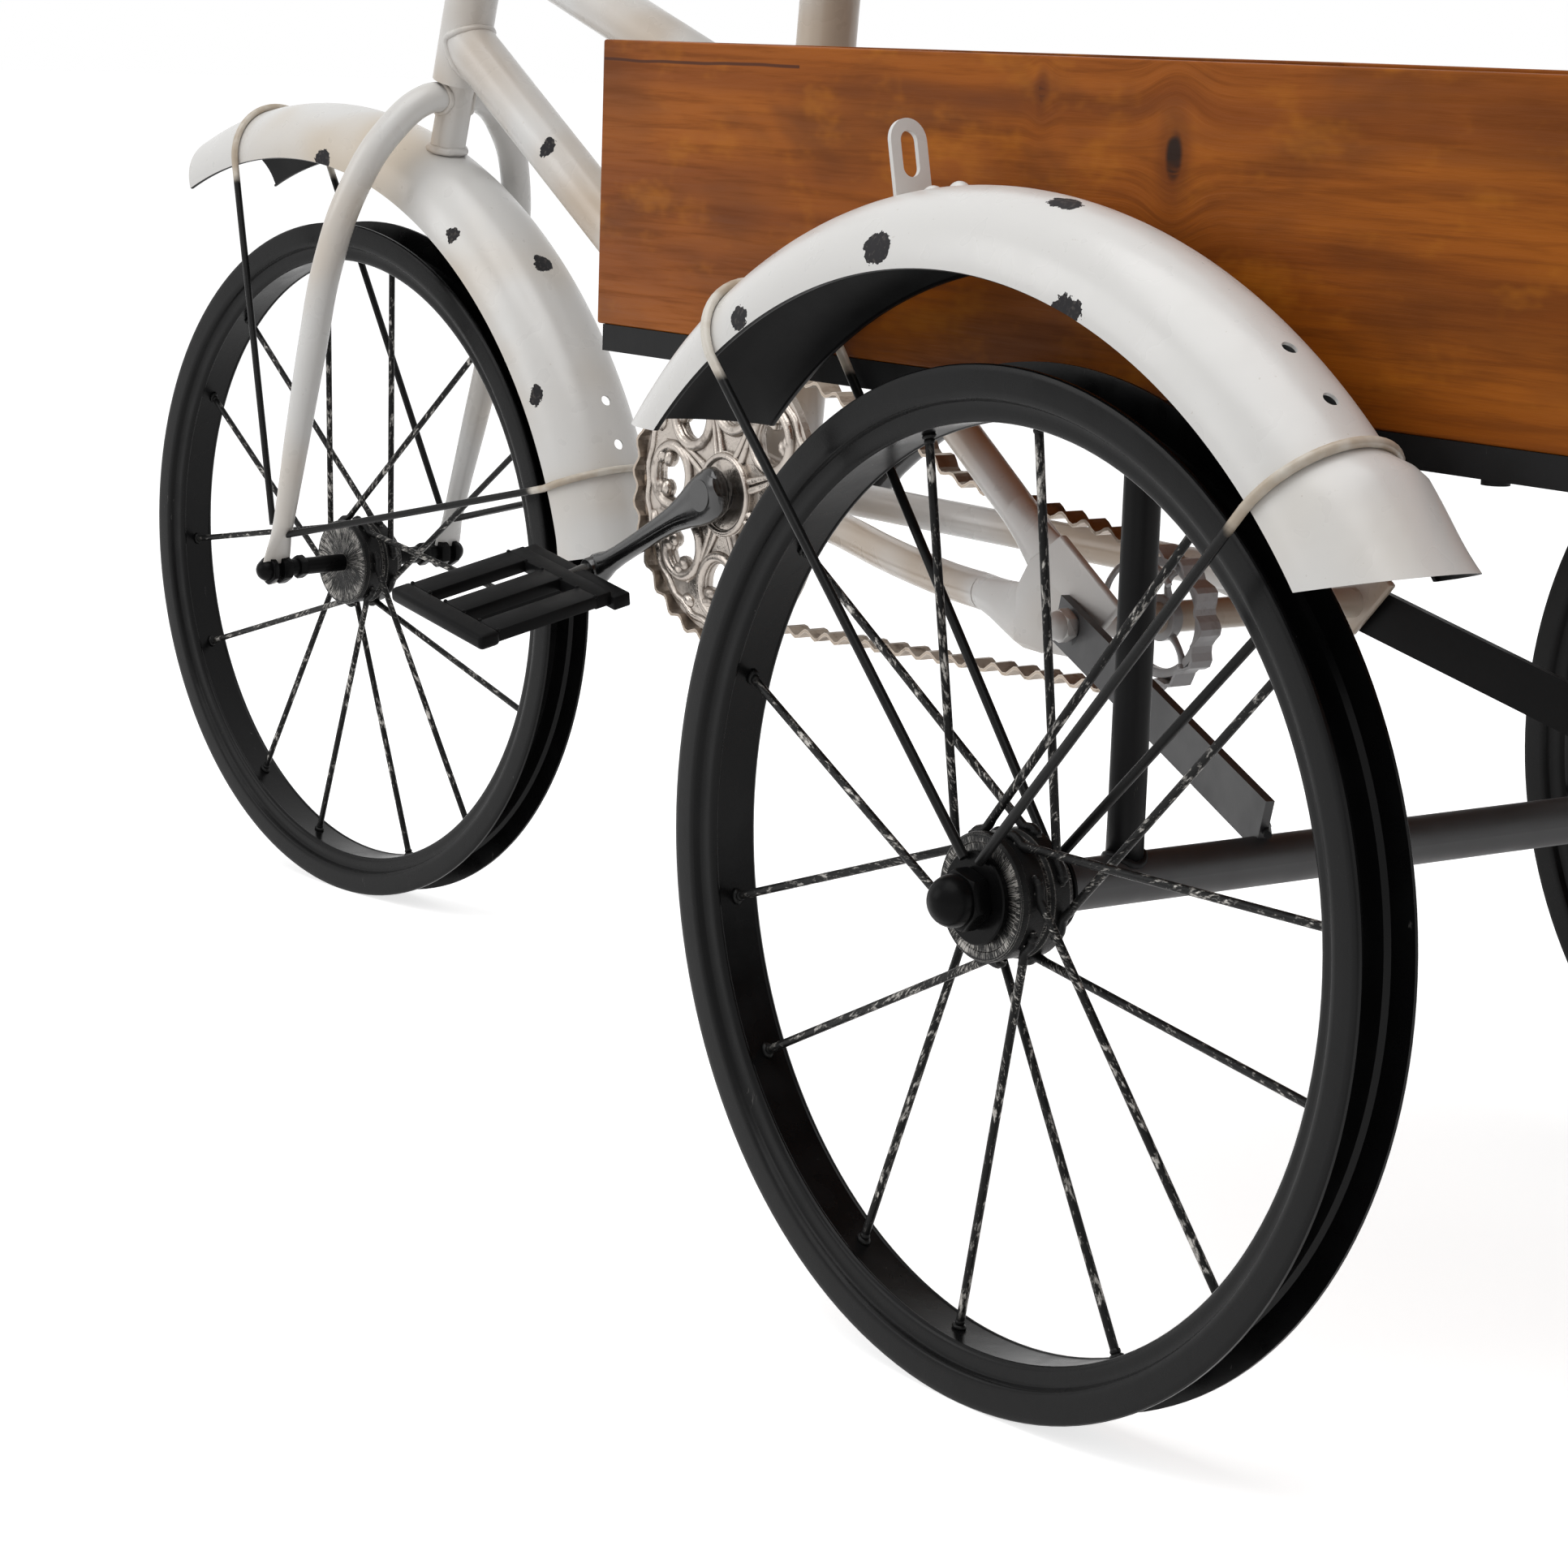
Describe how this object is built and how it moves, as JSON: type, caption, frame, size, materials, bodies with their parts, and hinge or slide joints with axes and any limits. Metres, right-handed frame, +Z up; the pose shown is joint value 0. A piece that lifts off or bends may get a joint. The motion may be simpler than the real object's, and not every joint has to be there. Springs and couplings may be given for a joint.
{
  "type": "bicycle plant stand",
  "caption": "Three-wheeled bicycle plant stand: painted cycle frame with a steered front wheel, wooden planter box over a rear axle, mudguards, pedals and a handlebar.",
  "frame": {"origin": "centre of the whole object's box, on the ground", "axes": "+X towards the back of the box, +Y to the cart's right side, +Z up"},
  "size_m": [1.4455, 0.588, 0.729],
  "materials": {
    "frame_paint": "aged off-white gloss paint with tan shading",
    "mudguard_paint": "off-white gloss paint with black chips",
    "black_paint": "satin black paint",
    "rim_paint": "satin black paint",
    "worn_black": "black paint rubbed through to bare metal",
    "antique_silver": "cast, warm silver, darkened in the hollows",
    "pedal_black": "satin black paint",
    "plated_steel": "dull plated steel",
    "stained_pine": "orange-brown stain with visible grain",
    "saddle_black": "satin black",
    "grip_rubber": "ribbed black rubber"
  },
  "bodies": {
    "root": {"head_tube": "frame_paint", "down_tube": "frame_paint", "top_tube": "frame_paint", "seat_tube": "frame_paint", "bottom_bracket_shell": "frame_paint", "seatstay_left": "frame_paint", "seatstay_right": "frame_paint", "chainstay_left": "frame_paint", "chainstay_right": "frame_paint", "dropout_left": "frame_paint", "dropout_right": "frame_paint", "spacer_tube": "frame_paint", "dropout_bolts": "frame_paint", "crank_axle": "plated_steel", "crank_arm_left": "pedal_black", "crank_arm_right": "pedal_black", "pedal_spindles": "plated_steel", "chainring": "antique_silver", "chain_strip": "antique_silver", "rear_sprocket": "antique_silver", "seat_post": "plated_steel", "saddle": "saddle_black", "axle_tube": "black_paint", "axle_studs": "black_paint", "axle_nuts": "black_paint", "upright_left": "black_paint", "upright_right": "black_paint", "strap_left": "black_paint", "strap_right": "black_paint", "box_frame": "black_paint", "frame_screws": "black_paint", "box_side_left": "stained_pine", "box_side_right": "stained_pine", "box_end_front": "stained_pine", "box_end_rear": "stained_pine", "box_floor": "stained_pine", "mudguard_left": "mudguard_paint", "mudguard_right": "mudguard_paint", "mudguard_tabs": "mudguard_paint", "mudguard_stays": "black_paint"},
    "steering": {"fork_steerer": "frame_paint", "fork_blade_left": "frame_paint", "fork_blade_right": "frame_paint", "front_axle": "worn_black", "front_mudguard": "mudguard_paint", "front_stays": "black_paint", "stem": "plated_steel", "handlebar": "plated_steel", "grips": "grip_rubber"},
    "front_wheel": {"front_rim": "rim_paint", "front_spokes": "worn_black", "front_hub": "worn_black"},
    "left_wheel": {"left_rim": "rim_paint", "left_spokes": "worn_black", "left_hub": "worn_black"},
    "right_wheel": {"right_rim": "rim_paint", "right_spokes": "worn_black", "right_hub": "worn_black"},
    "left_pedal": {"left_pedal": "pedal_black"},
    "right_pedal": {"right_pedal": "pedal_black"}
  },
  "joints": [
    {"name": "steering", "type": "hinge", "parent": "root", "child": "steering", "pos_m": [-0.42503, 0, 0.4845], "axis": [0.2672, 0, 0.9636], "range_deg": [-44.9, 35.1]},
    {"name": "front_wheel_spin", "type": "hinge", "parent": "steering", "child": "front_wheel", "pos_m": [-0.52216, -0.00151, 0.20027], "axis": [-0.0823, 0.9963, 0.0228], "continuous": true},
    {"name": "left_wheel_spin", "type": "hinge", "parent": "root", "child": "left_wheel", "pos_m": [0.38778, -0.255, 0.2], "axis": [0, 1, 0], "continuous": true},
    {"name": "right_wheel_spin", "type": "hinge", "parent": "root", "child": "right_wheel", "pos_m": [0.38778, 0.255, 0.2], "axis": [0, 1, 0], "continuous": true},
    {"name": "left_pedal_spin", "type": "hinge", "parent": "root", "child": "left_pedal", "pos_m": [-0.19802, -0.0565, 0.23813], "axis": [0, -0.9613, -0.2756], "continuous": true},
    {"name": "right_pedal_spin", "type": "hinge", "parent": "root", "child": "right_pedal", "pos_m": [-0.00965, 0.0565, 0.34362], "axis": [0, 1, 0], "continuous": true}
  ]
}
